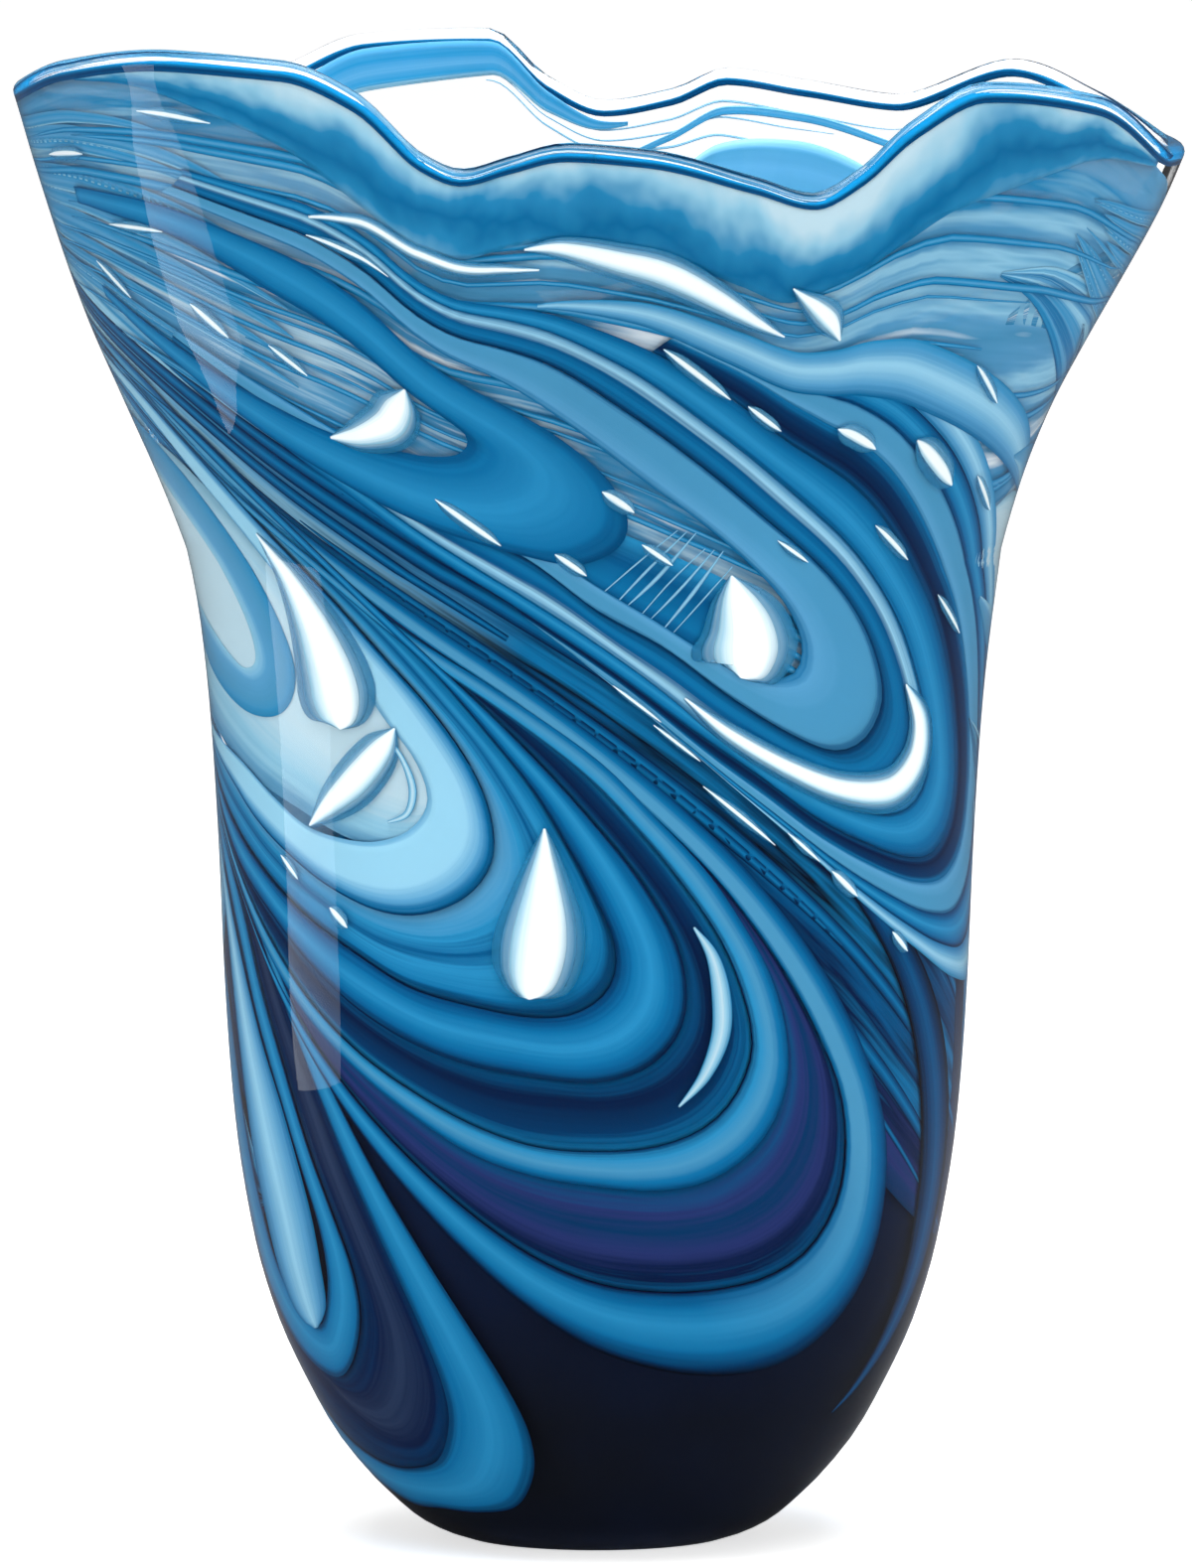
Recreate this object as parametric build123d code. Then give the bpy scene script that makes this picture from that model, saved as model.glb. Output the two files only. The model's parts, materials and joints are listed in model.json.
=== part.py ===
from build123d import *
import math
import os

# Ruffled art glass vase, in millimetres. +Z is up and the origin is the centre of the flat foot.
# Angle 0 is the front (-Y) and angles grow towards +X.

os.makedirs("parts", exist_ok=True)

# ---------------------------------------------------------------- driving sizes
RIM_LEVEL = 290.0        # mean height of the rim
FOOT_RADIUS = 27.0       # ground flat foot
RUFFLE_START = 200.0     # level where the round body starts to turn into ruffles
RIM_RADIUS = 107.0       # mean radius of the mouth
FIT = 0.03               # clearance between the overlay and the glass on its inner side
COLOUR_ROOM = 1.3        # space between casing and the glass inside it, where the trails lie

# Outside of the body, as (level, radius) from the foot to the mean rim.
BODY = [
    (0.0, FOOT_RADIUS), (1.5, 31.5), (4.0, 36.2), (8.7, 41.7), (13.0, 46.0), (21.0, 52.4),
    (29.0, 57.0), (45.0, 64.4), (61.0, 69.0), (85.0, 72.8), (110.0, 74.7), (142.0, 76.1),
    (166.0, 77.6), (182.0, 79.2), (198.0, 81.6), (214.0, 85.0), (230.0, 89.6), (246.0, 95.0),
    (262.0, 100.0), (278.0, 104.4), (RIM_LEVEL, RIM_RADIUS),
]

# The ruffled rim, hand pulled and uneven, as (angle, radius, height) once round.
RIM = [
    (-105, 115, 288), (-83, 117, 293), (-68, 115, 299), (-49, 112, 303), (-36, 107, 302),
    (-29, 100, 296), (-22, 94, 284), (-17, 93, 281), (-10, 97, 284), (-3, 104, 287),
    (5, 106, 286), (18, 101, 280), (27, 97, 276), (33, 99, 281), (38, 104, 290),
    (45, 110, 297), (60, 116, 293), (78, 118, 280), (99, 118, 279), (117, 115, 286),
    (129, 112, 291), (143, 104, 283), (156, 106, 285), (165, 106, 287), (171, 101, 283),
    (179, 96, 281), (186, 99, 286), (192, 107, 295), (206, 112, 294), (216, 112, 288),
    (235, 111, 284),
]

# Wall thickness measured square to the outside, as (level, thickness).
WALL = [(0.0, 12.0), (20.0, 9.0), (60.0, 7.0), (140.0, 5.8), (220.0, 5.0), (RIM_LEVEL, 3.8)]
CASING_SHARE = 0.45      # part of the wall that belongs to the clear outer casing
OVERLAY_TOP = 140.0      # level where the cobalt overlay has feathered away
OVERLAY_THICK = 1.6      # overlay thickness at the foot
OVERLAY_EDGE = 0.2       # overlay thickness at its feathered top

NECK_SWAY = 2.3          # the neck leans this far towards -X
SWAY_FROM = 185.0        # level where the lean starts; it is gone again at the rim

TRAIL_THICK = 0.5        # thickness of a colour trail
TRAIL_POINTS = 12        # points in each closed trail section
TRAIL_STEPS = 2          # trail sections per pair of stations
CORNER = 0.6             # squareness of a trail's section, 1 is an ellipse

# Colour trails on the front half as (angle, level, width): out along the lower arm, round the
# rounded end and back along the upper arm.
FRONT_TRAILS = {
    "trail_pale_window": [
        (-70, 158, 3), (-60, 151, 6), (-50, 145, 8), (-40, 140, 9), (-31, 139, 9),
        (-23, 144, 9), (-20, 155, 9), (-23, 167, 8), (-30, 177, 7), (-38, 187, 7),
        (-47, 198, 6), (-57, 210, 5), (-68, 223, 3),
    ],
    "trail_blue_second": [
        (-66, 139, 3), (-55, 130, 5), (-45, 122, 7), (-35, 115, 9), (-25, 110, 10),
        (-15, 107, 11), (-5, 106, 12), (3, 109, 13), (8, 117, 13), (8, 127, 11),
        (4, 138, 9), (-2, 149, 7), (-9, 160, 6), (-18, 172, 5), (-28, 185, 4), (-40, 199, 3),
    ],
    "trail_pale_third": [
        (-60, 122, 3), (-50, 111, 4), (-40, 102, 5), (-30, 94, 6), (-20, 88, 6),
        (-10, 84, 6), (0, 82, 7), (10, 82, 8), (20, 86, 9), (27, 95, 9), (28, 107, 8),
        (26, 118, 7), (21, 130, 6), (15, 141, 5), (7, 152, 4), (-1, 163, 3),
    ],
    "trail_blue_outer": [
        (-50, 103, 2.5), (-40, 90, 5), (-30, 78, 8), (-20, 67, 10), (-10, 58, 13),
        (0, 51, 15), (10, 48, 17), (20, 47, 19), (31, 49, 20), (42, 55, 18), (48, 66, 16),
        (49, 79, 14), (47, 92, 12), (43, 104, 10), (37, 116, 8), (29, 129, 6), (20, 142, 4),
    ],
    "trail_blue_upper": [
        (-44, 227, 4), (-34, 219, 6), (-24, 213, 7), (-14, 209, 8), (-5, 208, 8),
        (1, 216, 8), (-2, 226, 7), (-10, 235, 6), (-19, 243, 5), (-29, 251, 4),
        (-40, 258, 3),
    ],
    "trail_grey_drop": [
        (-2, 201, 3), (6, 193, 4), (14, 185, 5), (22, 177, 6), (31, 171, 7), (40, 171, 8),
        (43, 180, 8), (38, 191, 7), (30, 201, 6), (22, 211, 5), (13, 222, 4), (5, 232, 3),
    ],
    "trail_blue_drop": [
        (14, 174, 3), (24, 164, 4), (34, 157, 5), (44, 150, 7), (54, 147, 8), (62, 149, 9),
        (66, 158, 9), (63, 170, 8), (58, 182, 7), (52, 193, 6), (44, 204, 5), (35, 216, 5),
        (25, 228, 4), (14, 240, 3),
    ],
    "trail_pale_finger": [
        (-80, 70, 6), (-77, 55, 8), (-70, 45, 9), (-61, 43, 10), (-53, 48, 10),
        (-50, 58, 9), (-52, 70, 7), (-57, 85, 6), (-62, 100, 5), (-68, 115, 4),
        (-74, 130, 3),
    ],
    "trail_blue_finger": [
        (-80, 20, 6), (-68, 14, 8), (-54, 13, 9), (-40, 14, 10), (-27, 17, 12),
        (-22, 25, 14), (-26, 38, 11), (-31, 52, 9), (-37, 66, 8), (-44, 82, 6),
        (-51, 98, 3.5), (-58, 111, 3),
    ],
}
BACK_TURN = 176.0        # the same combing repeats this far round the vase
BACK_LIFT = 4.0          # and this much higher
BACK_STRETCH = 0.95      # and a little flatter

RING_POINTS = 90         # points in each closed section
FOOT_LEVELS = [0, 1.2, 3, 5.5, 9, 13, 18, 24, 31]
LEVEL_STEP = 7.5         # spacing of the sections above the foot
EDGE_LEVELS = (6.0, 3.2, 1.6, 0.7)   # closer sections this far below an edge


# ---------------------------------------------------------------- smooth tables
def table_slopes(xs, ys):
    """Slopes of a smooth curve through the points that never overshoots between them."""
    steps = [(ys[i + 1] - ys[i]) / (xs[i + 1] - xs[i]) for i in range(len(xs) - 1)]
    slopes = [steps[0]]
    for before, after in zip(steps, steps[1:]):
        same_way = before * after > 0
        slopes.append(2 * before * after / (before + after) if same_way else 0.0)
    slopes.append(steps[-1])
    return slopes


def table_value(xs, ys, slopes, x):
    """Value at x of the smooth curve through a table."""
    x = min(max(x, xs[0]), xs[-1])
    i = max(k for k in range(len(xs) - 1) if xs[k] <= x)
    span = xs[i + 1] - xs[i]
    t = (x - xs[i]) / span
    rise = ys[i + 1] - ys[i]
    curve = slopes[i] * span * t * (1 - t) ** 2 - slopes[i + 1] * span * t * t * (1 - t)
    return ys[i] + rise * t * t * (3 - 2 * t) + curve


def smooth_table(pairs):
    """A function of one value that passes smoothly through (x, y) pairs."""
    xs = [float(pair[0]) for pair in pairs]
    ys = [float(pair[1]) for pair in pairs]
    slopes = table_slopes(xs, ys)
    return lambda x: table_value(xs, ys, slopes, x)


def round_table(stations, column):
    """A smooth function of the angle through one column of the rim stations."""
    wrapped = [(s[0] + turn, s[column]) for turn in (-360, 0, 360) for s in stations]
    inner = smooth_table(wrapped)
    return lambda angle: inner((angle + 180.0) % 360.0 - 180.0)


body_radius = smooth_table(BODY)
wall = smooth_table(WALL)
rim_radius = round_table(RIM, 1)
rim_height = round_table(RIM, 2)


# ---------------------------------------------------------------- the glass surface
def ruffle(level):
    """How much of the rim's ruffle is present at a level, 0 on the body and 1 at the rim."""
    return max(0.0, (level - RUFFLE_START) / (RIM_LEVEL - RUFFLE_START))


def sway(level):
    """Sideways lean of the neck at a level."""
    share = max(0.0, (level - SWAY_FROM) / (RIM_LEVEL - SWAY_FROM))
    return NECK_SWAY * math.sin(math.pi * share) ** 2


def outside(angle, level):
    """Radius and height of the outer face."""
    share = ruffle(level)
    radius = body_radius(level) + share * (rim_radius(angle) - RIM_RADIUS)
    height = level + share ** 1.5 * (rim_height(angle) - RIM_LEVEL)
    return radius, height


def at_depth(angle, level, depth):
    """A point of the wall, some depth in from the outer face."""
    step = 0.4
    low = max(level - step, 0.0)
    high = min(level + step, RIM_LEVEL)
    r0, z0 = outside(angle, low)
    r1, z1 = outside(angle, high)
    length = math.hypot(r1 - r0, z1 - z0)
    radius, height = outside(angle, level)
    radius -= depth * (z1 - z0) / length
    height += depth * (r1 - r0) / length
    turn = math.radians(angle)
    return Vector(radius * math.sin(turn) - sway(level), -radius * math.cos(turn), height)


def casing_depth(level):
    return CASING_SHARE * wall(level)


def trail_depth(level):
    return casing_depth(level) + COLOUR_ROOM / 2


def core_depth(level):
    """Depth at which the glass inside the colour trails starts."""
    return casing_depth(level) + COLOUR_ROOM


def overlay_thickness(level):
    if level >= OVERLAY_TOP:
        return 0.0
    share = 1.0 - level / OVERLAY_TOP
    return OVERLAY_EDGE + (OVERLAY_THICK - OVERLAY_EDGE) * share


def ring(level, depth, lift=0.0):
    """A closed section round the vase. Lift pushes it above the wall's end, for the lip."""
    points = []
    for i in range(RING_POINTS):
        angle = 360.0 * i / RING_POINTS
        here = at_depth(angle, level, depth)
        if lift:
            below = at_depth(angle, level - 1.0, depth)
            here = here + (here - below).normalized() * lift
        points.append(here)
    stations = [i / RING_POINTS for i in range(RING_POINTS + 1)]
    return Wire([Edge.make_spline(points, periodic=True, parameters=stations)])


def glass_layer(outer_depth, inner_depth, top):
    """One closed layer of glass: up its outer face, over the lip, and down its inner face."""
    levels = list(FOOT_LEVELS)
    while levels[-1] + 1.5 * LEVEL_STEP < top - EDGE_LEVELS[0]:
        levels.append(levels[-1] + LEVEL_STEP)
    levels += [top - drop for drop in EDGE_LEVELS]
    sections = [ring(level, outer_depth(level)) for level in levels]
    out, inn = outer_depth(top), inner_depth(top)
    middle, half = (out + inn) / 2, (inn - out) / 2
    for turn in (0, 45, 90, 135, 180):
        depth = middle - half * math.cos(math.radians(turn))
        sections.append(ring(top, depth, half * math.sin(math.radians(turn))))
    sections += [ring(level, inner_depth(level)) for level in reversed(levels)]
    return Solid.make_loft(sections)


def inner_bubble():
    return glass_layer(
        lambda level: core_depth(level) + overlay_thickness(level) + FIT,
        wall,
        RIM_LEVEL,
    )


def cobalt_overlay():
    return glass_layer(
        core_depth,
        lambda level: core_depth(level) + overlay_thickness(level),
        OVERLAY_TOP - 1,
    )


def outer_casing():
    return glass_layer(lambda level: 0.0, casing_depth, RIM_LEVEL)


# ---------------------------------------------------------------- colour trails
def path_point(stations, place):
    """Angle, level and width at a place along a trail, by a curve through its stations."""
    last = len(stations) - 1
    i = min(int(place), last - 1)
    t = place - i
    before = stations[max(i - 1, 0)]
    here, there = stations[i], stations[i + 1]
    after = stations[min(i + 2, last)]
    return [
        h + 0.5 * t * (n - b + t * (2 * b - 5 * h + 4 * n - a + t * (3 * (h - n) + a - b)))
        for b, h, n, a in zip(before, here, there, after)
    ]


def surface_scale(level):
    """Millimetres of glass per degree round, and per millimetre of level, at a level."""
    step = 0.5
    low = max(level - step, 0.0)
    rise = (body_radius(level + step) - body_radius(low)) / (level + step - low)
    return math.radians(body_radius(level)), math.hypot(1.0, rise)


def rounded(share):
    """Softens a sine or cosine so that the section it draws is a flat ribbon with round edges."""
    return math.copysign(abs(share) ** CORNER, share)


def trail_section(stations, place, flat):
    """A closed section of a trail under the casing. The end sections are flat, so they can be capped."""
    step = 0.05
    ahead = path_point(stations, min(place + step, len(stations) - 1))
    behind = path_point(stations, max(place - step, 0))
    angle, level, width = path_point(stations, place)
    per_degree, per_level = surface_scale(level)
    along_a = (ahead[0] - behind[0]) * per_degree
    along_l = (ahead[1] - behind[1]) * per_level
    length = math.hypot(along_a, along_l)
    across_a = -along_l / length / per_degree
    across_l = along_a / length / per_level

    def at(side, deep):
        here = level + side * across_l
        return at_depth(angle + side * across_a, here, trail_depth(here) + deep)

    middle = at(0, 0)
    sideways = (at(0.5, 0) - at(-0.5, 0)).normalized()
    inwards = (at(0, 0.5) - middle).normalized()
    points = []
    for k in range(TRAIL_POINTS):
        turn = 2 * math.pi * k / TRAIL_POINTS
        side = -width / 2 * rounded(math.sin(turn))
        deep = TRAIL_THICK / 2 * rounded(math.cos(turn))
        points.append(middle + sideways * side + inwards * deep if flat else at(side, deep))
    knots = [k / TRAIL_POINTS for k in range(TRAIL_POINTS + 1)]
    return Wire([Edge.make_spline(points, periodic=True, parameters=knots)])


def trail(stations):
    """A ribbon of coloured glass that follows its stations in the colour layer."""
    count = (len(stations) - 1) * TRAIL_STEPS
    sections = [
        trail_section(stations, k / TRAIL_STEPS, k in (0, count)) for k in range(count + 1)
    ]
    return Solid.make_loft(sections)


def all_trails():
    """Every trail by name: the front combing and its repeat on the back."""
    trails = {}
    for name, stations in FRONT_TRAILS.items():
        trails[name + "_front"] = stations
        trails[name + "_back"] = [
            (angle + BACK_TURN, BACK_LIFT + BACK_STRETCH * level, BACK_STRETCH * width)
            for angle, level, width in stations
        ]
    return trails


# ---------------------------------------------------------------- the assembly
def build_parts():
    """Every piece of the vase by its node name."""
    pieces = {
        "inner_bubble": inner_bubble(),
        "cobalt_overlay": cobalt_overlay(),
        "outer_casing": outer_casing(),
    }
    for name, stations in all_trails().items():
        pieces[name] = trail(stations)
    return pieces


if __name__ == "__main__":
    for name, solid in build_parts().items():
        export_step(solid, f"parts/{name}.step")
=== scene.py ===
import json
import math
import random

import bpy
import numpy as np
from mathutils import Vector
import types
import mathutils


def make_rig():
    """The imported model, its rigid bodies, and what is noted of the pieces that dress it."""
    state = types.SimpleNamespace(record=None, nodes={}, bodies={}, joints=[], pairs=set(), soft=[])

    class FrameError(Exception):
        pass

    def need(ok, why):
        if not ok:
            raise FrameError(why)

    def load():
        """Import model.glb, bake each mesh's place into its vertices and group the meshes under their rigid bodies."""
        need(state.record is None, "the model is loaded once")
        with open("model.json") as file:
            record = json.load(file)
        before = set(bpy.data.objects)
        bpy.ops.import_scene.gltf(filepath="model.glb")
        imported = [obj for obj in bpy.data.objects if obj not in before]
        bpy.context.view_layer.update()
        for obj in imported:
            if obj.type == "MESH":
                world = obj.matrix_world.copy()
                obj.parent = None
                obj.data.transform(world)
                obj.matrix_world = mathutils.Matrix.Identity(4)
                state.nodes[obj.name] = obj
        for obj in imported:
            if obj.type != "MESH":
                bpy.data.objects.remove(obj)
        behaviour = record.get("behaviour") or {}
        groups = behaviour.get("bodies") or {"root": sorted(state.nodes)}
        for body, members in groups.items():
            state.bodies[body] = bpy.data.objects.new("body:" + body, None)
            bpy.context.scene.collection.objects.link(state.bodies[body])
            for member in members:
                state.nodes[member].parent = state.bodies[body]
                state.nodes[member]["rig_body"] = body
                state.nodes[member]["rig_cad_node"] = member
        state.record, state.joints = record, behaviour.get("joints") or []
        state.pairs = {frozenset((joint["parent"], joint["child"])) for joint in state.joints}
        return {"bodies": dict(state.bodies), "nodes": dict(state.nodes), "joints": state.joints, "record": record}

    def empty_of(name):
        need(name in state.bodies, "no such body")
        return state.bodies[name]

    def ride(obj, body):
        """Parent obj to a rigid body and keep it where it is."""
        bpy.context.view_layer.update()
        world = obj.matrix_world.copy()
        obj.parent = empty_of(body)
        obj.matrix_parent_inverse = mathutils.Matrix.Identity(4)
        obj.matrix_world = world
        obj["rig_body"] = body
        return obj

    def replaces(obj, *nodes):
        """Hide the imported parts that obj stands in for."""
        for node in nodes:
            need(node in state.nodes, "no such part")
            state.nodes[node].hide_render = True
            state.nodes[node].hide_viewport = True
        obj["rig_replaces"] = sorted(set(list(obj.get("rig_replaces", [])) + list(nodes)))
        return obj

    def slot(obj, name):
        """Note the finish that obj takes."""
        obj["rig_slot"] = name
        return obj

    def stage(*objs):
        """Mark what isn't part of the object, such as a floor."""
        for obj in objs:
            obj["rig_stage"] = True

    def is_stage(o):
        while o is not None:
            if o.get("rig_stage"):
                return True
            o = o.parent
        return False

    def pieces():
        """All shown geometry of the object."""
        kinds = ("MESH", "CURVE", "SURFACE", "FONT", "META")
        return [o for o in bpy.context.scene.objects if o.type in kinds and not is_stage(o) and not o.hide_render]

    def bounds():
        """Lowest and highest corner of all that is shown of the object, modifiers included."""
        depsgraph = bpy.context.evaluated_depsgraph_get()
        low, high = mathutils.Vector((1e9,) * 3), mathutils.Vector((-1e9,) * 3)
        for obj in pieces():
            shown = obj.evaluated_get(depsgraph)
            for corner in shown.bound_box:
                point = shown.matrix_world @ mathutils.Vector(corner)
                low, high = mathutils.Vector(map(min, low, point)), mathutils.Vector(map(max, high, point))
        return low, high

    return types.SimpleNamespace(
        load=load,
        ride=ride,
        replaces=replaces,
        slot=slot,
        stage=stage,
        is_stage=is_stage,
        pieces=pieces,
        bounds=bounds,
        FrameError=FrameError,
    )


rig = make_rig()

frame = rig.load()


def keep_bounds(name):
    sizes = {}
    if name != "cad":
        with open(SIZE_FILE) as file:
            sizes = json.load(file)
    low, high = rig.bounds()
    sizes[name] = [list(map(float, low)), list(map(float, high))]
    with open(SIZE_FILE, "w") as file:
        json.dump(sizes, file)


SIZE_FILE = "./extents.json"
keep_bounds("cad")

# Looks of a ruffled, cased art glass vase. Wall places are given as (angle in degrees, level in mm):
# angle 0 faces -Y and grows towards +X, level runs up the wall from the foot to the mean rim.
MM = 0.001

# ---------- driving sizes, in mm
RIM_LEVEL = 290.0
FOOT_RADIUS = 27.0
RUFFLE_START = 200.0
RIM_RADIUS = 107.0
NECK_SWAY = 2.3
SWAY_FROM = 185.0
MM_PER_DEGREE = 1.33             # round the body, for spacing points along a curve
BACK_TURN = 176.0                # the combing repeats this far round,
BACK_LIFT = 4.0                  # this much higher
BACK_STRETCH = 0.95              # and a little flatter
SHEET_THICK = 0.1                # a sheet of colour
NARROWEST = 0.2                  # a ribbon at its ends
END_GAP = 0.3                    # sheets keep this far from the foot and from the lip
BLACK_BELOW = 30.0               # the overlay is black up to here
BLUE_ABOVE = 130.0               # and deep blue from here

# ---------- fineness of the meshes
LIP_RINGS = 9                    # rings of points over a rounded lip
SLOPE_STEP = 0.4                 # mm up and down the wall, to find which way its face looks
STEPS_BETWEEN = 12               # steps of a smooth curve between two stations
FINE_POINTS = 400                # points on the edge of a loop while its end is looked for
FLOW_UNIT = 100.0                # mm along a band for 1 in its streak coordinate

# ---------- the vase's outline
BODY = [
    (0.0, FOOT_RADIUS), (1.5, 31.5), (4.0, 36.2), (8.7, 41.7), (13.0, 46.0), (21.0, 52.4), (29.0, 57.0),
    (45.0, 64.4), (61.0, 69.0), (85.0, 72.8), (110.0, 74.7), (142.0, 76.1), (166.0, 77.6), (182.0, 79.2),
    (198.0, 81.6), (214.0, 85.0), (230.0, 89.6), (246.0, 95.0), (262.0, 100.0), (278.0, 104.4),
    (RIM_LEVEL, RIM_RADIUS),
]
RIM = [
    (-105, 115, 288), (-83, 117, 293), (-68, 115, 299), (-49, 112, 303), (-36, 107, 302), (-29, 100, 296),
    (-22, 94, 284), (-17, 93, 281), (-10, 97, 284), (-3, 104, 287), (5, 106, 286), (18, 101, 280),
    (27, 97, 276), (33, 99, 281), (38, 104, 290), (45, 110, 297), (60, 116, 293), (78, 118, 280),
    (99, 118, 279), (117, 115, 286), (129, 112, 291), (143, 104, 283), (156, 106, 285), (165, 106, 287),
    (171, 101, 283), (179, 96, 281), (186, 99, 286), (192, 107, 295), (206, 112, 294), (216, 112, 288),
    (235, 111, 284),
]
WALL = [(0.0, 12.0), (20.0, 9.0), (60.0, 7.0), (140.0, 5.8), (220.0, 5.0), (RIM_LEVEL, 3.8)]


# ---------- smooth tables
def smooth_table(pairs):
    """A function that passes smoothly through (x, y) pairs and never overshoots."""
    xs = np.array([pair[0] for pair in pairs], float)
    ys = np.array([pair[1] for pair in pairs], float)
    steps = np.diff(ys) / np.diff(xs)
    before, after = steps[:-1], steps[1:]
    same_way = before * after > 0
    total = np.where(same_way, before + after, 1.0)
    inner = np.where(same_way, 2 * before * after / total, 0.0)
    slopes = np.concatenate([[steps[0]], inner, [steps[-1]]])

    def value(x):
        x = np.clip(np.asarray(x, float), xs[0], xs[-1])
        i = np.clip(np.searchsorted(xs, x, side="right") - 1, 0, len(xs) - 2)
        span = xs[i + 1] - xs[i]
        t = (x - xs[i]) / span
        rise = ys[i + 1] - ys[i]
        curve = slopes[i] * span * t * (1 - t) ** 2 - slopes[i + 1] * span * t * t * (1 - t)
        return ys[i] + rise * t * t * (3 - 2 * t) + curve

    return value


def round_table(stations, column):
    """A smooth function of the angle through one column of the rim stations."""
    wrapped = [(s[0] + turn, s[column]) for turn in (-360, 0, 360) for s in stations]
    inner = smooth_table(wrapped)
    return lambda angle: inner((np.asarray(angle, float) + 180.0) % 360.0 - 180.0)


body_radius = smooth_table(BODY)
wall = smooth_table(WALL)
rim_radius = round_table(RIM, 1)
rim_height = round_table(RIM, 2)


# ---------- the glass wall
def sway(level):
    """Sideways lean of the neck at a level."""
    share = np.clip((level - SWAY_FROM) / (RIM_LEVEL - SWAY_FROM), 0.0, 1.0)
    return NECK_SWAY * np.sin(np.pi * share) ** 2


def outside(angle, level):
    """Radius and height of the outer face."""
    share = np.clip((level - RUFFLE_START) / (RIM_LEVEL - RUFFLE_START), 0.0, None)
    radius = body_radius(level) + share * (rim_radius(angle) - RIM_RADIUS)
    height = level + share ** 1.5 * (rim_height(angle) - RIM_LEVEL)
    return radius, height


def at_depth(angle, level, depth):
    """Points of the wall in metres, some depth in from the outer face, as an array (..., 3)."""
    angle, level, depth = np.broadcast_arrays(
        np.asarray(angle, float), np.asarray(level, float), np.asarray(depth, float)
    )
    low = np.clip(level - SLOPE_STEP, 0.0, RIM_LEVEL)
    high = np.clip(level + SLOPE_STEP, 0.0, RIM_LEVEL)
    r0, z0 = outside(angle, low)
    r1, z1 = outside(angle, high)
    length = np.hypot(r1 - r0, z1 - z0)
    radius, height = outside(angle, level)
    radius = radius - depth * (z1 - z0) / length
    height = height + depth * (r1 - r0) / length
    turn = np.radians(angle)
    x = radius * np.sin(turn) - sway(level)
    y = -radius * np.cos(turn)
    return np.stack([x, y, height], axis=-1) * MM


# ---------- mesh building
def add_piece(name, verts, faces, material, uv=None, smooth=True):
    """A mesh object from arrays. uv is one (u, v) per vertex."""
    mesh = bpy.data.meshes.new(name)
    mesh.from_pydata([tuple(v) for v in verts], [], [tuple(f) for f in faces])
    mesh.validate()
    if uv is not None:
        layer = mesh.uv_layers.new(name="flow")
        picked = np.empty(len(mesh.loops), np.int64)
        mesh.loops.foreach_get("vertex_index", picked)
        layer.data.foreach_set("uv", np.asarray(uv, np.float32)[picked].ravel())
    if smooth:
        mesh.polygons.foreach_set("use_smooth", [True] * len(mesh.polygons))
    mesh.update()
    obj = bpy.data.objects.new(name, mesh)
    bpy.context.scene.collection.objects.link(obj)
    obj.data.materials.append(material)
    return obj


def ring_grid(rows):
    """Joins rows of ring points (rows, around, 3) into one skin that is closed at both ends."""
    count, around = rows.shape[:2]
    ring = [(j, (j + 1) % around) for j in range(around)]
    faces = []
    for i in range(count - 1):
        here, above = i * around, (i + 1) * around
        faces += [(here + j, here + k, above + k, above + j) for j, k in ring]
    first_centre = count * around
    last_ring = first_centre - around
    for j, k in ring:
        faces.append((first_centre, k, j))
        faces.append((first_centre + 1, last_ring + j, last_ring + k))
    return np.vstack([rows.reshape(-1, 3), rows[0].mean(0), rows[-1].mean(0)]), faces


def glass_layer(outer_depth, inner_depth, top, levels, around):
    """One closed layer of the wall: up its outer face, over the lip and down its inner face."""
    angles = np.arange(around) * 360.0 / around
    rows = [at_depth(angles, level, outer_depth(level)) for level in levels]
    out, inn = outer_depth(top), inner_depth(top)
    middle, half = (out + inn) / 2, (inn - out) / 2
    upwards = at_depth(angles, top, 0.0) - at_depth(angles, top - 1.0, 0.0)
    upwards /= np.linalg.norm(upwards, axis=1, keepdims=True)
    for turn in np.linspace(0, np.pi, LIP_RINGS):
        depth = middle - half * np.cos(turn)
        rows.append(at_depth(angles, top, depth) + upwards * half * np.sin(turn) * MM)
    rows += [at_depth(angles, level, inner_depth(level)) for level in reversed(levels)]
    return ring_grid(np.array(rows))


# ---------- bands of colour
def run_along(points):
    """Distance in mm along a line of (angle, level, ...) points, up to each of them."""
    step = np.hypot(np.diff(points[:, 0]) * MM_PER_DEGREE, np.diff(points[:, 1]))
    return np.concatenate([[0.0], np.cumsum(step)])


def evenly(points, count):
    """The same line as count points that are evenly spaced along it."""
    run = run_along(points)
    even = np.linspace(0.0, run[-1], count)
    return np.stack([np.interp(even, run, column) for column in points.T], axis=-1)


def smooth_path(stations, count):
    """Evenly spaced points of a smooth curve through the stations, whatever their columns are."""
    table = np.array(stations, float)
    last = len(table) - 1
    places = np.arange(last * STEPS_BETWEEN + 1) / STEPS_BETWEEN
    i = np.minimum(places.astype(int), last - 1)
    t = (places - i)[:, None]
    before, here = table[np.maximum(i - 1, 0)], table[i]
    then, after = table[i + 1], table[np.minimum(i + 2, last)]
    bend = 2 * before - 5 * here + 4 * then - after + t * (3 * (here - then) + after - before)
    return evenly(here + 0.5 * t * (then - before + t * bend), count)


def loop_edge(stations, half):
    """An edge of a loop as 2 * half + 1 points, the middle one at the loop's rounded end."""
    fine = smooth_path(stations, FINE_POINTS)
    turn = int(np.argmax(fine[:, 0]))
    return np.vstack([evenly(fine[: turn + 1], half + 1), evenly(fine[turn:], half + 1)[1:]])


def surface_scale(level):
    """Millimetres of glass per degree round, and per millimetre of level."""
    rise = body_radius(level + 0.5) - body_radius(np.maximum(level - 0.5, 0.0))
    return np.radians(body_radius(level)), np.hypot(1.0, rise)


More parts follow.
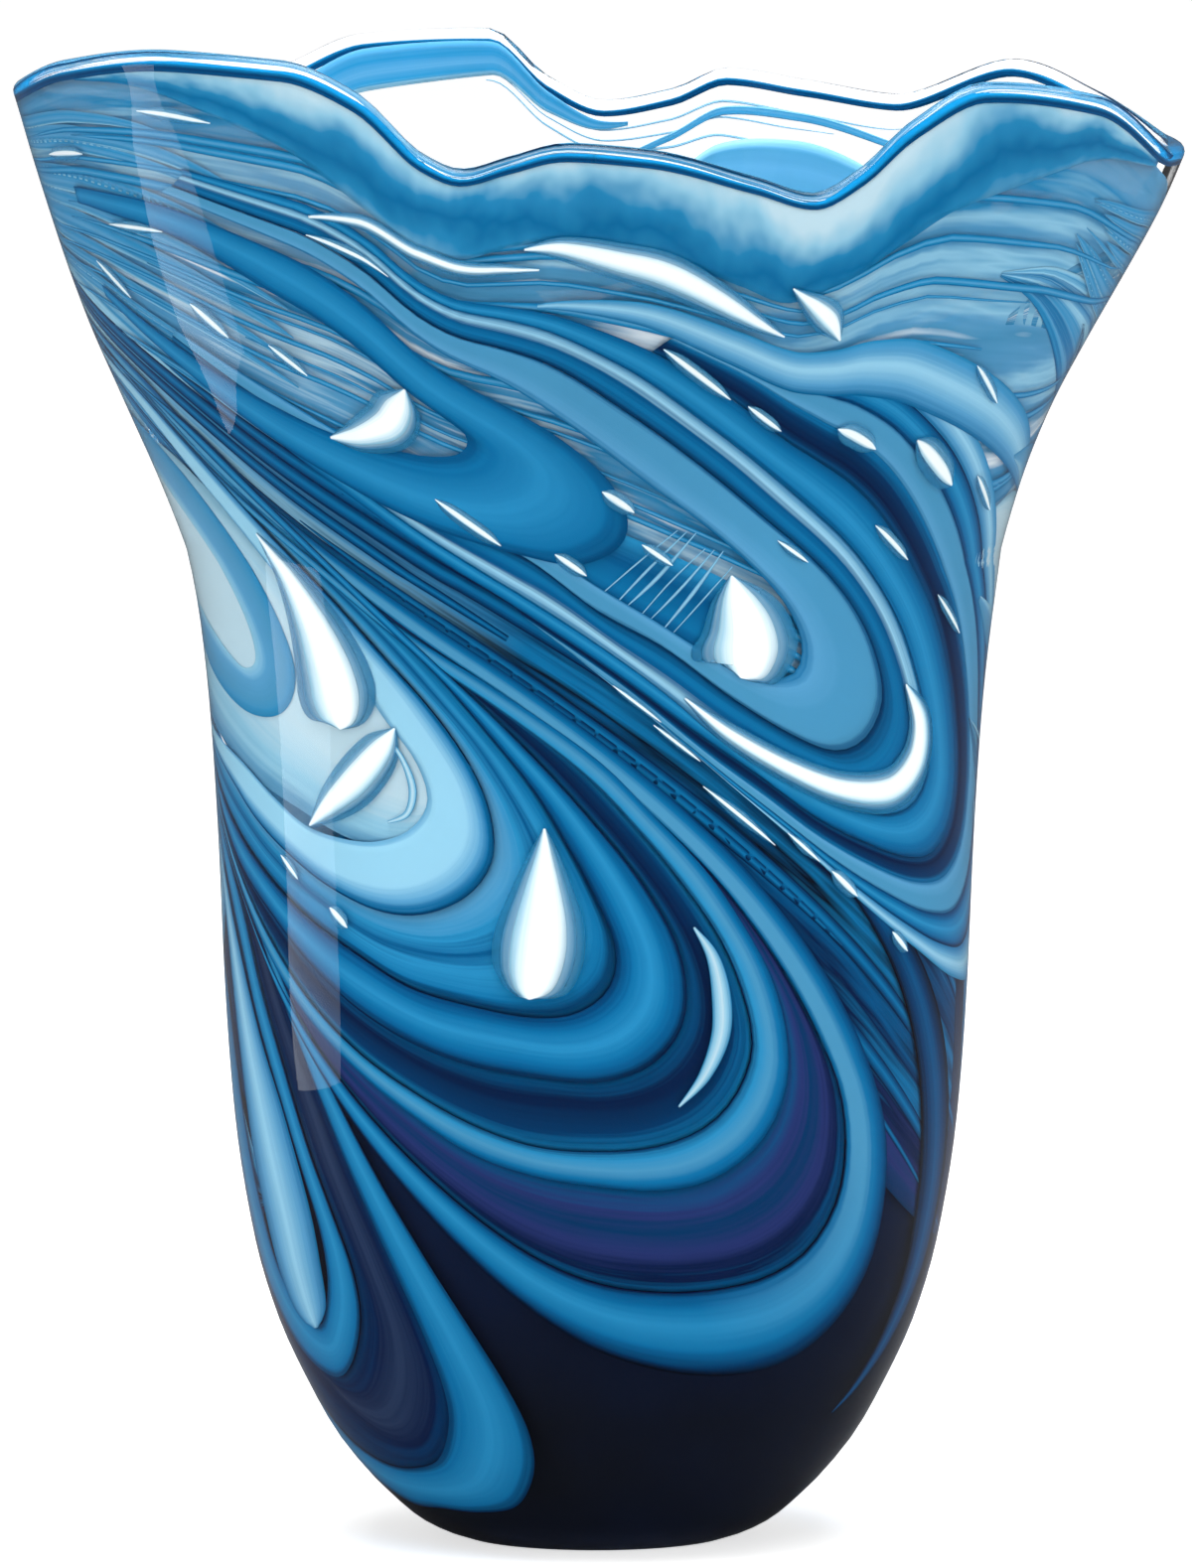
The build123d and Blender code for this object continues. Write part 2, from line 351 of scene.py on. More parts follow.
def sheet(left, right, depth, across, seed=0.0, thick=SHEET_THICK):
    """A closed thin solid in the wall between two edges of (angle, level) points.

    Returns vertices, faces and (along, across) coordinates; along starts at the seed."""
    share = np.linspace(0.0, 1.0, across)[:, None, None]
    grid = left[None] * (1 - share) + right[None] * share
    run = run_along((left + right) / 2) / FLOW_UNIT + seed
    count = len(left)
    level = np.clip(grid[..., 1], END_GAP, RIM_LEVEL - END_GAP)
    verts = np.vstack([
        at_depth(grid[..., 0], level, depth - thick / 2).reshape(-1, 3),
        at_depth(grid[..., 0], level, depth + thick / 2).reshape(-1, 3),
    ])
    one_side = np.stack(np.broadcast_arrays(run[None, :], share[..., 0]), axis=-1).reshape(-1, 2)
    inside = across * count
    faces = []
    for k in range(across - 1):
        for i in range(count - 1):
            a, b = k * count + i, (k + 1) * count + i
            faces.append((a, b, b + 1, a + 1))
            faces.append((a + inside, a + 1 + inside, b + 1 + inside, b + inside))
    rim = list(range(count))
    rim += [k * count + count - 1 for k in range(1, across)]
    rim += [(across - 1) * count + i for i in range(count - 2, -1, -1)]
    rim += [k * count for k in range(across - 2, 0, -1)]
    for a, b in zip(rim, rim[1:] + rim[:1]):
        faces.append((a, b, b + inside, a + inside))
    return verts, faces, np.vstack([one_side, one_side])


def ribbon(stations, depth, seed=0.0, across=7, count=90):
    """A sheet of changing width along (angle, level, width) stations."""
    path = smooth_path(stations, count)
    angle, level, width = path.T
    per_degree, per_level = surface_scale(level)
    da, dl = np.gradient(angle) * per_degree, np.gradient(level) * per_level
    length = np.maximum(np.hypot(da, dl), 1e-6)
    side = np.stack([-dl / length / per_degree, da / length / per_level], axis=-1)
    half = np.maximum(width, NARROWEST)[:, None] / 2 * side
    here = path[:, :2]
    return sheet(here + half, here - half, depth, across, seed)


def loop_band(outer, inner, depth, across=7, half=60):
    """The sheet between the outer and the inner edge of a loop."""
    return sheet(loop_edge(outer, half), loop_edge(inner, half), depth, across)


def turned(stations):
    """The same stations on the back of the vase."""
    out = []
    for angle, level, *widths in stations:
        moved = (angle + BACK_TURN, BACK_LIFT + BACK_STRETCH * level)
        out.append(moved + tuple(BACK_STRETCH * width for width in widths))
    return out


def colour_piece(name, sheets, material, slot=None):
    """One piece of coloured glass made of several sheets. With a slot, it stands for the front and the
    back trail of that name."""
    all_verts, all_faces, all_uv, base = [], [], [], 0
    for verts, faces, uv in sheets:
        all_verts.append(verts)
        all_uv.append(uv)
        all_faces += [tuple(i + base for i in face) for face in faces]
        base += len(verts)
    obj = add_piece(f"glass_{name}", np.vstack(all_verts), all_faces, material, np.vstack(all_uv))
    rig.ride(obj, "root")
    if slot:
        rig.replaces(obj, f"trail_{name}_front", f"trail_{name}_back")
        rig.slot(obj, slot)


# ---------- materials
def srgb(r, g, b):
    """Linear colour from 0-255 values."""
    out = []
    for c in (r, g, b):
        c = c / 255
        out.append(c / 12.92 if c <= 0.04045 else ((c + 0.055) / 1.055) ** 2.4)
    return (*out, 1.0)


def new_material(name):
    """A material with an empty node tree, and the tree."""
    mat = bpy.data.materials.new(name)
    mat.use_nodes = True
    mat.node_tree.nodes.clear()
    return mat, mat.node_tree


def fill(tree, node, inputs):
    """Feeds inputs of a node, named or numbered, from other nodes' sockets or with plain values."""
    for key, value in inputs.items():
        if isinstance(value, bpy.types.NodeSocket):
            tree.links.new(value, node.inputs[key])
        else:
            node.inputs[key].default_value = value
    return node


def add_node(tree, kind, inputs):
    """A new shader node with its inputs fed."""
    return fill(tree, tree.nodes.new(f"ShaderNode{kind}"), inputs)


def calculate(tree, operation, *terms):
    """The result of a sum on sockets and numbers."""
    node = tree.nodes.new("ShaderNodeMath")
    node.operation = operation
    return fill(tree, node, dict(enumerate(terms))).outputs[0]


def mix_colours(tree, share, first, second):
    """The colour that a share of the way from the first to the second gives."""
    node = tree.nodes.new("ShaderNodeMix")
    node.data_type = "RGBA"
    return fill(tree, node, {0: share, 6: first, 7: second}).outputs[2]


def ramp_colour(tree, place, stops):
    """The colour at a place along a list of (place, colour) stops."""
    ramp = add_node(tree, "ValToRGB", {"Fac": place})
    elements = ramp.color_ramp.elements
    elements[0].position, elements[0].color = stops[0]
    elements[1].position, elements[1].color = stops[-1]
    for where, colour in stops[1:-1]:
        elements.new(where).color = colour
    return ramp.outputs["Color"]


def show(tree, shader):
    """Puts a shader on the material's surface."""
    add_node(tree, "OutputMaterial", {"Surface": shader.outputs[0]})


def clear_glass_material(name, tint):
    """Clear glass with a slightly wavy face, that lets lamp light through to the colour inside."""
    mat, tree = new_material(name)
    place = add_node(tree, "TexCoord", {})
    ripple = add_node(tree, "TexNoise", {"Vector": place.outputs["Object"], "Scale": 26.0, "Detail": 1.0})
    bump = add_node(tree, "Bump", {"Height": ripple.outputs["Fac"], "Strength": 0.25, "Distance": MM})
    glass = add_node(tree, "BsdfPrincipled", {
        "Base Color": tint, "Roughness": 0.0, "IOR": 1.32, "Specular Tint": (0.5, 0.56, 0.62, 1.0),
        "Transmission Weight": 1.0, "Normal": bump.outputs["Normal"],
    })
    clear = add_node(tree, "BsdfTransparent", {"Color": tint})
    path = add_node(tree, "LightPath", {})
    show(tree, add_node(tree, "MixShader", {
        0: path.outputs["Is Shadow Ray"], 1: glass.outputs["BSDF"], 2: clear.outputs["BSDF"],
    }))
    return mat


def streaked(name, stops, streak=0.12, fine=14.0, slow=1.2, alpha=1.0,
                    later_stops=None, change=(0.0, 1.0), spread=1.0):
    """Coloured glass whose colour changes across a band, broken by streaks that run along it.

    stops is a list of (place across the band from 0 to 1, colour). With later_stops the band
    changes to those colours between the two distances along it in change. With a small spread the
    place across the band counts for less, and the streaks for more."""
    mat, tree = new_material(name)
    flow = tree.nodes.new("ShaderNodeUVMap")
    flow.uv_map = "flow"
    split = add_node(tree, "SeparateXYZ", {"Vector": flow.outputs["UV"]})
    stretched = add_node(tree, "Mapping", {"Vector": flow.outputs["UV"], "Scale": (slow, fine, 1.0)})
    noise = add_node(tree, "TexNoise", {
        "Vector": stretched.outputs["Vector"], "Scale": 1.0, "Detail": 4.0, "Roughness": 0.6,
    })
    centred = calculate(tree, "SUBTRACT", noise.outputs["Fac"], 0.5)
    across = calculate(tree, "MULTIPLY", split.outputs["Y"], spread)
    place = calculate(tree, "MULTIPLY_ADD", centred, streak * 2, across)
    colour = ramp_colour(tree, place, stops)
    if later_stops:
        later = ramp_colour(tree, place, later_stops)
        share = add_node(tree, "MapRange", {
            "Value": split.outputs["X"], "From Min": change[0], "From Max": change[1],
        })
        colour = mix_colours(tree, share.outputs["Result"], colour, later)
    show(tree, add_node(tree, "BsdfPrincipled", {
        "Base Color": colour, "Roughness": COLOUR_ROUGHNESS, "Specular IOR Level": 0.0, "Alpha": alpha,
    }))
    return mat


def cobalt_material():
    """Cobalt overlay, black at the foot and deep blue higher up."""
    mat, tree = new_material("cobalt_glass")
    place = add_node(tree, "TexCoord", {}).outputs["Object"]
    split = add_node(tree, "SeparateXYZ", {"Vector": place})
    rise = add_node(tree, "MapRange", {
        "Value": split.outputs["Z"], "From Min": BLACK_BELOW * MM, "From Max": BLUE_ABOVE * MM,
    })
    clouds = add_node(tree, "TexNoise", {"Vector": place, "Scale": 22.0, "Detail": 3.0})
    share = calculate(tree, "MULTIPLY_ADD", clouds.outputs["Fac"], 0.4, rise.outputs["Result"])
    show(tree, add_node(tree, "BsdfPrincipled", {
        "Base Color": ramp_colour(tree, share, [(0.1, SOOT), (1, COBALT)]),
        "Roughness": 0.3, "Specular IOR Level": 0.0,
    }))
    return mat


COLOUR_ROUGHNESS = 0.35
WHITE = srgb(244, 249, 250)
ICE = srgb(196, 222, 232)
PALE = srgb(150, 202, 224)
MIST = srgb(88, 156, 196)
GREY = srgb(74, 146, 184)
SKY = srgb(40, 138, 186)
MID = srgb(14, 110, 160)
TEAL = srgb(5, 80, 128)
DEEP = srgb(4, 52, 94)
NAVY = srgb(7, 26, 62)
PLUM = srgb(38, 50, 104)
SLATE = srgb(38, 54, 84)
INK = srgb(7, 9, 18)
SOOT = srgb(14, 15, 18)
COBALT = srgb(10, 30, 66)

glass_clear = clear_glass_material("clear_glass", (0.97, 0.99, 1.0, 1.0))
cobalt_glass = cobalt_material()
pale_glass = streaked(
    "pale_blue_glass", [(0, DEEP), (0.06, MID), (0.2, MIST), (0.4, PALE), (0.9, PALE), (1, MIST)], 0.1)
third_glass = streaked(
    "pale_thread_glass", [(0, TEAL), (0.2, MID), (0.5, GREY), (0.8, SKY), (1, DEEP)], 0.12)
outer_glass = streaked(
    "outer_blue_glass",
    [(0, INK), (0.1, DEEP), (0.3, MID), (0.6, SKY), (0.8, MID), (0.92, TEAL), (1, NAVY)], 0.08,
    later_stops=[(0, DEEP), (0.12, TEAL), (0.35, MID), (0.55, GREY), (0.85, GREY), (0.95, MID), (1, DEEP)],
    change=(2.1, 2.7))
second_glass = streaked(
    "second_blue_glass",
    [(0, NAVY), (0.1, TEAL), (0.3, MID), (0.5, SKY), (0.75, MID), (0.9, TEAL), (1, DEEP)], 0.12)
gap_glass = streaked("gap_glass", [(0, MID), (0.25, DEEP), (0.7, NAVY), (1, TEAL)], 0.2)
teal_glass = streaked(
    "teal_glass", [(0, DEEP), (0.15, MID), (0.4, SKY), (0.55, TEAL), (0.75, SKY), (1, MIST)], 0.2)
purple_glass = streaked(
    "purple_navy_glass",
    [(0, TEAL), (0.15, NAVY), (0.4, PLUM), (0.6, DEEP), (0.75, PLUM), (1, TEAL)], 0.22)
drop_glass = streaked("drop_blue_glass", [(0, TEAL), (0.3, MID), (0.6, SKY), (0.9, MID), (1, TEAL)], 0.15)
drop_fill_glass = streaked(
    "drop_fill_glass", [(0, MID), (0.25, PALE), (0.45, TEAL), (0.7, MID), (1, DEEP)], 0.15)
upper_glass = streaked(
    "upper_blue_glass", [(0, TEAL), (0.15, MID), (0.5, SKY), (0.85, MID), (1, TEAL)], 0.12)
grey_glass = streaked(
    "grey_blue_glass", [(0, TEAL), (0.1, GREY), (0.5, GREY), (0.85, MIST), (1, MID)], 0.12)
finger_glass = streaked(
    "finger_blue_glass", [(0, DEEP), (0.15, MID), (0.5, SKY), (0.85, MID), (1, DEEP)], 0.12)
finger_fill_glass = streaked(
    "finger_fill_glass", [(0, DEEP), (0.2, NAVY), (0.5, SLATE), (0.8, NAVY), (1, DEEP)], 0.25)
pale_finger_glass = streaked(
    "pale_finger_glass", [(0, MID), (0.2, MIST), (0.5, PALE), (0.8, MIST), (1, MID)], 0.1)
veil_glass = streaked(
    "veil_glass",
    [(0, MIST), (0.1, SKY), (0.2, PALE), (0.27, MIST), (0.34, GREY), (0.42, WHITE), (0.48, MIST),
     (0.56, SKY), (0.62, ICE), (0.7, MIST), (0.82, SKY), (0.92, MIST), (1, SKY)],
    0.5, fine=10.0, slow=0.8, alpha=0.78)
window_finger_glass = streaked(
    "window_finger_glass", [(0, SKY), (0.3, GREY), (0.7, MIST), (1, PALE)], 0.1)
# painted highlight: white glass for the bright spots where the clear glass catches the light
highlight_white_glass = streaked(
    "painted_highlight_white", [(0, ICE), (0.2, WHITE), (0.65, WHITE), (0.85, ICE), (1, PALE)], 0.15)
# painted highlight: pale soft edges and halos round the white drops and flecks
highlight_edge_glass = streaked(
    "highlight_edge_glass", [(0, MIST), (0.3, ICE), (0.7, ICE), (1, MIST)], 0.15, alpha=0.7)
highlight_halo_glass = streaked(
    "highlight_halo_glass", [(0, SKY), (0.4, PALE), (0.6, MIST), (1, SKY)], 0.2, alpha=0.45)
# painted highlight: cyan-white drops
cyan_highlight_glass = streaked(
    "cyan_highlight_glass", [(0, SKY), (0.3, PALE), (0.5, ICE), (0.75, PALE), (1, SKY)], 0.15, alpha=0.9)
navy_stream_glass = streaked(
    "navy_stream_glass",
    [(0, PALE), (0.1, SKY), (0.2, PALE), (0.3, MID), (0.38, MIST), (0.46, PALE), (0.54, SKY),
     (0.64, MIST), (0.72, MID), (0.82, MIST), (0.92, SKY), (1, MID)], 0.3, fine=7.0, slow=0.7,
    later_stops=[(0, MIST), (0.1, MID), (0.18, SKY), (0.26, TEAL), (0.34, NAVY), (0.42, MID), (0.5, INK),
                 (0.58, TEAL), (0.66, NAVY), (0.74, MID), (0.82, NAVY), (0.9, PLUM), (1, DEEP)],
    change=(0.7, 1.7))
stream_thread_glass = streaked(
    "stream_band_glass", [(0, NAVY), (0.25, TEAL), (0.5, MID), (0.75, TEAL), (1, NAVY)], 0.2)
thread_glass = streaked("thread_glass", [(0, MID), (0.3, SKY), (0.5, MIST), (0.7, SKY), (1, MID)], 0.3)
lobe_glass = streaked("lobe_glass", [(0, MIST), (0.3, SKY), (0.6, MIST), (0.8, SKY), (1, PALE)], 0.25)
# painted light: a pale fill where the window is clear glass that shows the bright backdrop
window_fill_glass = streaked(
    "window_fill_glass", [(0, PALE), (0.2, ICE), (0.6, ICE), (0.85, PALE), (1, MIST)], 0.15, alpha=0.85)
upper_band_glass = streaked(
    "upper_band_glass", [(0, SKY), (0.2, MIST), (0.45, PALE), (0.75, MIST), (1, MID)], 0.12)
# translucent blue under the rim, whose lighter vertical streaks are painted reflections
panel_and_reflection_glass = streaked(
    "panel_and_reflection_glass",
    [(0, ICE), (0.1, PALE), (0.22, SKY), (0.34, MID), (0.46, SKY), (0.62, PALE)],
    0.42, fine=0.4, slow=3.2, alpha=0.82, spread=0.45)
far_eye_glass = streaked(
    "far_eye_glass", [(0, PALE), (0.25, GREY), (0.6, MIST), (0.85, GREY), (1, PALE)], 0.2, fine=4.0)
drop_inner_glass = streaked(
    "drop_inner_glass", [(0, SKY), (0.3, TEAL), (0.65, MID), (0.8, TEAL), (1, MID)], 0.2, fine=6.0)
far_line_glass = streaked("far_line_glass", [(0, MIST), (0.5, PALE), (1, MIST)], 0.2)
left_ground_glass = streaked(
    "left_ground_glass", [(0, MID), (0.2, TEAL), (0.4, MID), (0.6, DEEP), (0.8, NAVY), (1, DEEP)], 0.35)
right_stream_glass = streaked(
    "right_stream_glass", [(0, INK), (0.25, DEEP), (0.5, TEAL), (0.75, DEEP), (1, INK)], 0.2)
# painted shade: the dark edge that the thick lip shows
rim_line_glass = streaked("rim_line_glass", [(0, MID), (0.5, DEEP), (1, TEAL)], 0.3)

# ---------- clear wall and dark overlay
FOOT_LEVELS = [0, 0.5, 1.2, 2.2, 3.5, 5, 7, 9.5]
LIP_LEVELS = [285, 287, 288.5, 289.5]
WALL_LEVELS = np.concatenate([
    FOOT_LEVELS, np.arange(12, 60, 4.0), np.arange(60, 200, 5.0), np.arange(200, 284, 2.5), LIP_LEVELS,
])
AROUND = 240                     # points round a ring of the wall
OVERLAY_TOP = 112.0
OVERLAY_THICK = 0.8


def overlay_depth(level):
    """How far under the surface the overlay begins."""
    return 0.62 * wall(level)


verts, faces = glass_layer(lambda level: 0.0, wall, RIM_LEVEL, WALL_LEVELS, AROUND)
glass = add_piece("clear_glass_wall", verts, faces, glass_clear)
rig.ride(glass, "root")
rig.replaces(glass, "outer_casing", "inner_bubble")
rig.slot(glass, "clear_glass")

overlay_levels = [level for level in WALL_LEVELS if level < OVERLAY_TOP - 1]
verts, faces = glass_layer(
    overlay_depth, lambda level: overlay_depth(level) + OVERLAY_THICK, OVERLAY_TOP, overlay_levels, AROUND
)
overlay = add_piece("cobalt_overlay_glass", verts, faces, cobalt_glass)
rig.ride(overlay, "root")
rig.replaces(overlay, "cobalt_overlay")
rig.slot(overlay, "cobalt_glass")

# ---------- loop edges
# Each edge runs out along the lower arm of a hairpin, round its end and back along the upper arm.
LOWER_BENDS = {
    "outer_out": [
        (-88, 152), (-72, 134), (-58, 113), (-50, 101), (-40, 87), (-30, 74), (-20, 62), (-10, 52),
        (0, 45), (10, 41), (20, 39), (30, 39), (40, 42), (49, 50), (54, 61), (55, 74), (53, 88),
        (48, 101), (42, 113), (35, 125), (27, 137), (18, 149), (5, 164), (-10, 179), (-25, 192),
        (-40, 205), (-55, 219), (-70, 235), (-88, 250),
    ],
    "outer_in": [
        (-88, 154), (-74, 137), (-60, 118), (-50, 105), (-40, 93), (-30, 82), (-20, 72), (-10, 64),
        (0, 59), (10, 57), (20, 57), (30, 59), (38, 64), (43, 73), (44, 84), (42, 96), (37, 108),
        (31, 120), (24, 132), (16, 144), (3, 160), (-12, 176), (-27, 189), (-42, 203), (-57, 217),
        (-72, 233), (-88, 248),
    ],
    "third_out": [
        (-88, 155), (-74, 138), (-60, 120), (-50, 109), (-40, 100), (-30, 92), (-20, 85), (-10, 81),
        (0, 79), (10, 78), (19, 80), (27, 87), (31, 97), (31, 108), (28, 120), (23, 131), (17, 142),
        (9, 153), (0, 165), (-14, 178), (-29, 190), (-43, 203), (-58, 217), (-73, 233), (-88, 247.5),
    ],
    "third_in": [
        (-88, 156), (-74, 140), (-60, 124), (-50, 113), (-40, 104), (-30, 97), (-20, 91), (-10, 87),
        (0, 86), (10, 87), (18, 91), (23, 98), (25, 107), (23, 118), (19, 129), (13, 140), (6, 151),
        (-2, 162), (-15, 175), (-30, 188), (-44, 202), (-59, 216), (-74, 232), (-88, 247),
    ],
    "second_out": [
        (-88, 157), (-72, 140), (-60, 130), (-50, 121), (-40, 113), (-30, 107), (-20, 103), (-10, 101),
        (0, 100), (8, 103), (13, 110), (14, 119), (12, 129), (7, 140), (1, 150), (-7, 162), (-16, 174),
        (-26, 186), (-37, 199), (-49, 213), (-61, 226), (-75, 236), (-88, 246),
    ],
    "second_in": [
        (-88, 159), (-72, 146), (-60, 137), (-50, 130), (-40, 124), (-30, 118), (-20, 115), (-10, 113),
        (-3, 114), (2, 119), (3, 127), (0, 137), (-4, 147), (-9, 158), (-15, 168), (-23, 180), (-33, 192),
        (-44, 205), (-56, 218), (-68, 230), (-88, 245),
    ],
    "window_out": [
        (-88, 164), (-72, 155), (-64, 149), (-55, 143), (-45, 137), (-35, 133), (-27, 133), (-20, 137),
        (-16, 144), (-16, 153), (-19, 163), (-25, 174), (-33, 185), (-42, 197), (-52, 209), (-63, 222),
        (-75, 234), (-88, 244),
    ],
    "window_in": [
        (-88, 166), (-74, 162), (-66, 159), (-58, 154), (-50, 149), (-42, 147), (-35, 147), (-29, 150),
        (-26, 156), (-28, 164), (-33, 172), (-38, 181), (-44, 190), (-51, 199), (-58, 209), (-66, 219),
        (-76, 231), (-88, 242),
    ],
}
UPPER_LOOPS = {
    "third_out": [
        (-60, 240), (-45, 226), (-28, 210), (-12, 196), (2, 183), (15, 170), (25, 161), (35, 152),
        (45, 146), (55, 142), (63, 142), (69, 148), (70, 158), (67, 170), (62, 182), (56, 193), (48, 205),
        (40, 216), (30, 228), (20, 239), (8, 249), (-8, 258), (-28, 266), (-50, 272),
    ],
    "third_in": [
        (-59, 241), (-44, 228), (-28, 213), (-12, 199), (0, 188), (10, 178), (20, 167), (30, 160),
        (40, 154), (50, 151), (57, 153), (60, 160), (58, 170), (54, 180), (49, 190), (42, 201), (34, 212),
        (25, 224), (15, 235), (4, 246), (-10, 256), (-28, 264), (-50, 271),
    ],
    "second_out": [
        (-58, 243), (-42, 230), (-26, 217), (-10, 206), (0, 195), (10, 187), (20, 177), (30, 169),
        (38, 165), (44, 167), (47, 174), (45, 183), (40, 193), (33, 203), (25, 213), (16, 224), (6, 235),
        (-5, 246), (-18, 254), (-34, 262), (-52, 269),
    ],
    "second_in": [
        (-57, 244), (-40, 232), (-24, 220), (-8, 208), (0, 200), (8, 193), (16, 186), (24, 181),
        (30, 181), (31, 187), (28, 195), (22, 204), (15, 213), (7, 222), (-2, 233), (-12, 244),
        (-24, 253), (-38, 261), (-54, 268),
    ],
    "first_out": [
        (-72, 250), (-60, 239), (-50, 230), (-40, 222), (-30, 215), (-20, 210), (-10, 206), (-2, 204),
        (4, 208), (5, 215), (2, 223), (-4, 231), (-12, 239), (-21, 247), (-30, 254), (-40, 260),
        (-55, 266), (-72, 270),
    ],
    "first_in": [
        (-72, 252), (-60, 243), (-50, 236), (-42, 231), (-34, 227), (-26, 226), (-18, 227), (-16, 231),
        (-20, 236), (-26, 241), (-33, 247), (-40, 252), (-52, 260), (-72, 267),
    ],
}
LEFT_FINGERS = {
    "blue_out": [
        (-92, 26), (-88, 19), (-80, 12), (-65, 8), (-50, 8), (-35, 8), (-22, 10), (-15, 17), (-14, 26),
        (-18, 38), (-24, 51), (-31, 65), (-38, 79), (-46, 95), (-55, 112), (-64, 127), (-76, 142),
        (-90, 154),
    ],
    "blue_in": [
        (-92, 27), (-88, 29), (-81, 28), (-72, 21), (-60, 17), (-48, 17), (-38, 20), (-32, 28), (-31, 38),
        (-34, 52), (-39, 67), (-45, 83), (-52, 100), (-60, 117), (-68, 131), (-78, 143), (-90, 155),
    ],
    "pale_out": [
        (-103, 160), (-99, 147), (-95, 125), (-92, 100), (-88, 76), (-83, 54), (-74, 40), (-62, 35),
        (-53, 39), (-47, 48), (-46, 58), (-49, 70), (-54, 85), (-59, 100), (-65, 115), (-71, 130),
        (-80, 143), (-92, 156),
    ],
    "pale_in": [
        (-102, 159), (-97, 144), (-90, 128), (-82, 110), (-77, 88), (-74, 70), (-71, 57), (-66, 49),
        (-60, 46), (-56, 50), (-53, 57), (-53, 67), (-56, 79), (-61, 94), (-67, 109), (-72, 122),
        (-79, 135), (-93, 156),
    ],
}
PALE_FINGER = [
    (-61, 45.5, 2), (-61.3, 47, 9), (-61.7, 50, 15), (-62, 57, 19), (-63, 70, 21), (-66, 86, 19),
    (-70, 101, 14), (-75, 118, 9), (-81, 133, 5), (-92, 153, 3),
]

STEP_IN = 0.14                   # depth from one band of colour to the next one under it
FIRST_DEPTH = 0.9                # how far under the surface layer 0 lies
BACK_DEEPER = 0.03               # keeps the back's colours off the front's where the two overlap
LOOPS_MEET_LOW = (-101, 172)     # all arms of the lower loops run out to these two places
LOOPS_MEET_HIGH = (-100, 260)
LOWER_LOOPS = {
    name: [LOOPS_MEET_LOW] + stations + [LOOPS_MEET_HIGH] for name, stations in LOWER_BENDS.items()
}


def layer(number):
    """Depth of a numbered layer of colour; higher numbers lie deeper."""
    return FIRST_DEPTH + STEP_IN * number


def unturned(stations):
    """The front's own stations."""
    return stations


def both_pieces(name, make, material, slot=None):
    """One piece from the sheets that make(place, deeper) gives for the front and for the back."""
    colour_piece(name, make(unturned, 0.0) + make(turned, BACK_DEEPER), material, slot)


def both_loops(name, edges, outer, inner, material, number, slot=None):
    """The band between two edges of a loop in a numbered layer, on the front and on the back."""
    def make(place, deeper):
        return [loop_band(place(edges[outer]), place(edges[inner]), layer(number) + deeper)]

    both_pieces(name, make, material, slot)


def both_ribbons(name, many_stations, material, number, slot=None, **shape):
    """Ribbons along lists of stations in a numbered layer, on the front and on the back."""
    def make(place, deeper):
        return [
            ribbon(place(stations), layer(number) + deeper, seed=2.3 * k, **shape)
            for k, stations in enumerate(many_stations)
        ]

    both_pieces(name, make, material, slot)


both_loops("blue_outer", LOWER_LOOPS, "outer_out", "outer_in", outer_glass, 4, "turquoise_glass")
both_loops("navy_fill", LOWER_LOOPS, "outer_in", "third_out", purple_glass, 9)
both_loops("pale_third", LOWER_LOOPS, "third_out", "third_in", third_glass, 3, "pale_blue_glass")
both_loops("navy_gap", LOWER_LOOPS, "third_in", "second_out", gap_glass, 8)
both_loops("blue_second", LOWER_LOOPS, "second_out", "second_in", second_glass, 2, "turquoise_glass")
both_loops("teal_fill", LOWER_LOOPS, "second_in", "window_out", teal_glass, 7)
both_loops("pale_window", LOWER_LOOPS, "window_out", "window_in", pale_glass, 1, "pale_blue_glass")
both_loops("blue_drop", UPPER_LOOPS, "third_out", "third_in", drop_glass, 2, "turquoise_glass")
both_loops("drop_fill", UPPER_LOOPS, "third_in", "second_out", drop_fill_glass, 3)
both_loops("grey_drop", UPPER_LOOPS, "second_out", "second_in", grey_glass, 1, "grey_blue_glass")
both_loops("blue_upper", UPPER_LOOPS, "first_out", "first_in", upper_glass, 0, "turquoise_glass")
both_loops("blue_finger", LEFT_FINGERS, "blue_out", "blue_in", finger_glass, 6, "turquoise_glass")
both_loops("finger_fill", LEFT_FINGERS, "blue_in", "pale_out", finger_fill_glass, 10)
both_loops("finger_edge", LEFT_FINGERS, "pale_out", "pale_in", finger_glass, 5)
both_ribbons("pale_finger", [PALE_FINGER], pale_finger_glass, 0, "pale_blue_glass")

# ---------- streams between the loops
# Guide lines that the combed colour follows on its way round the upper body.
RIM_GUIDE = [
    (-118, 258), (-112, 272), (-104, 282), (-94, 288), (-80, 289), (-62, 289), (-42, 289), (-22, 289),
    (0, 289), (22, 289), (42, 289), (62, 289), (78, 286), (90, 276), (100, 258), (107, 234),
]
# on the back the wall under the rim is left clear
BACK_RIM_GUIDE = [
    (-118, 258), (-104, 276), (-88, 284), (-70, 282), (-50, 268), (-30, 252), (-10, 246), (10, 246),
    (30, 250), (50, 262), (68, 276), (82, 276), (95, 262), (107, 234),
]
STREAM_GUIDE = [
    (-118, 256), (-104, 256), (-88, 250), (-72, 241), (-54, 230), (-36, 216), (-18, 204), (-4, 193),
    (10, 179), (25, 164), (40, 149), (55, 137), (70, 130), (84, 136), (97, 166), (106, 228),
]
TOP_GUIDE = {unturned: RIM_GUIDE, turned: BACK_RIM_GUIDE}
NAVY_STREAM = [
    (-122, 266, 1), (-112, 264, 10), (-100, 259, 20), (-88, 250, 24), (-75, 238, 26), (-60, 225, 30),
    (-45, 211, 34), (-30, 198, 38), (-15, 185, 42), (0, 171, 46), (15, 156, 50), (30, 140, 54),
    (45, 124, 58), (60, 108, 60), (75, 94, 58), (90, 82, 46), (103, 74, 28), (114, 70, 2),
]
